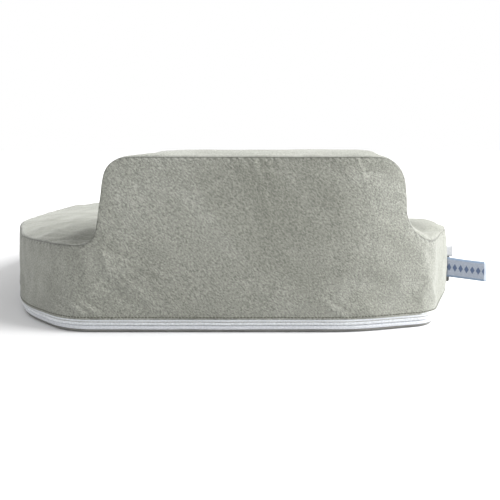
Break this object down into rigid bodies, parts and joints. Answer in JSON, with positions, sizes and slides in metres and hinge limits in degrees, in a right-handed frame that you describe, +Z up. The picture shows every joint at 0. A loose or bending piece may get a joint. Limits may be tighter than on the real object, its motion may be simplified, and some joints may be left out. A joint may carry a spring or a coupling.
{
  "type": "nursing pillow",
  "caption": "C-shaped foam nursing pillow with raised armrests in a zipped plush cover, closed behind the wearer by a webbing strap with a side-release buckle.",
  "frame": {"origin": "centre of the footprint, labels and strap included, on the floor under the pillow", "axes": "+Z up, -Y towards the front platform away from the wearer, +Y towards the open ends and the strap, +X along the width towards the arm that carries the labels"},
  "size_m": [0.5747, 0.4934, 0.151],
  "materials": {
    "plush": "short-pile plush",
    "lining": "plain woven",
    "foam": "open-cell foam",
    "zip_tape": "woven tape",
    "zip_coil": "satin",
    "zip_metal": "satin",
    "label": "woven",
    "care_label": "satin",
    "webbing": "woven webbing",
    "buckle": "satin"
  },
  "bodies": {
    "cushion": {"foam_base": "foam", "foam_armrest_left": "foam", "foam_armrest_right": "foam", "cover_top_panel": "plush", "cover_outer_wall": "plush", "cover_inner_wall": "plush", "cover_bottom_panel": "lining", "zip_upper_tape": "zip_tape", "zip_upper_coil": "zip_coil", "zip_lower_coil": "zip_coil", "zip_lower_tape": "zip_tape", "zip_end_stop": "zip_metal", "zip_top_stop": "zip_metal", "side_label": "label", "care_label": "care_label"},
    "slider": {"zip_slider": "zip_metal"},
    "pull": {"zip_pull": "zip_metal"},
    "buckle_side": {"buckle_strap": "webbing", "buckle_socket": "buckle"},
    "waist_strap": {"waist_webbing": "webbing", "buckle_plug": "buckle"},
    "keeper": {"strap_keeper": "buckle"},
    "upper_arm": {"plug_arm_upper": "buckle"},
    "lower_arm": {"plug_arm_lower": "buckle"}
  },
  "joints": [
    {"name": "zip_slide", "type": "slide", "parent": "cushion", "child": "slider", "axis": [0, -1, 0], "range_m": [0, 0.14]},
    {"name": "pull_swing", "type": "hinge", "parent": "slider", "child": "pull", "pos_m": [-0.28776, 0.0385, 0.00609], "axis": [-0.28, 0, 0.96], "range_deg": [0, 150]},
    {"name": "buckle_side_swing", "type": "hinge", "parent": "cushion", "child": "buckle_side", "pos_m": [0.14186, 0.21059, 0.031], "axis": [0, 0, -1], "range_deg": [0, 80]},
    {"name": "waist_strap_swing", "type": "hinge", "parent": "cushion", "child": "waist_strap", "pos_m": [-0.14186, 0.21059, 0.031], "axis": [0, 0, 1], "range_deg": [0, 100]},
    {"name": "keeper_slide", "type": "slide", "parent": "waist_strap", "child": "keeper", "axis": [-1, 0, 0], "range_m": [-0.008, 0.03]},
    {"name": "upper_arm_squeeze", "type": "hinge", "parent": "waist_strap", "child": "upper_arm", "pos_m": [0.0144, 0.21059, 0.0431], "axis": [0, 1, 0], "range_deg": [0, 6], "stiffness_Nm_per_rad": 0.05},
    {"name": "lower_arm_squeeze", "type": "hinge", "parent": "waist_strap", "child": "lower_arm", "pos_m": [0.0144, 0.21059, 0.0189], "axis": [0, -1, 0], "range_deg": [0, 6], "stiffness_Nm_per_rad": 0.05}
  ]
}
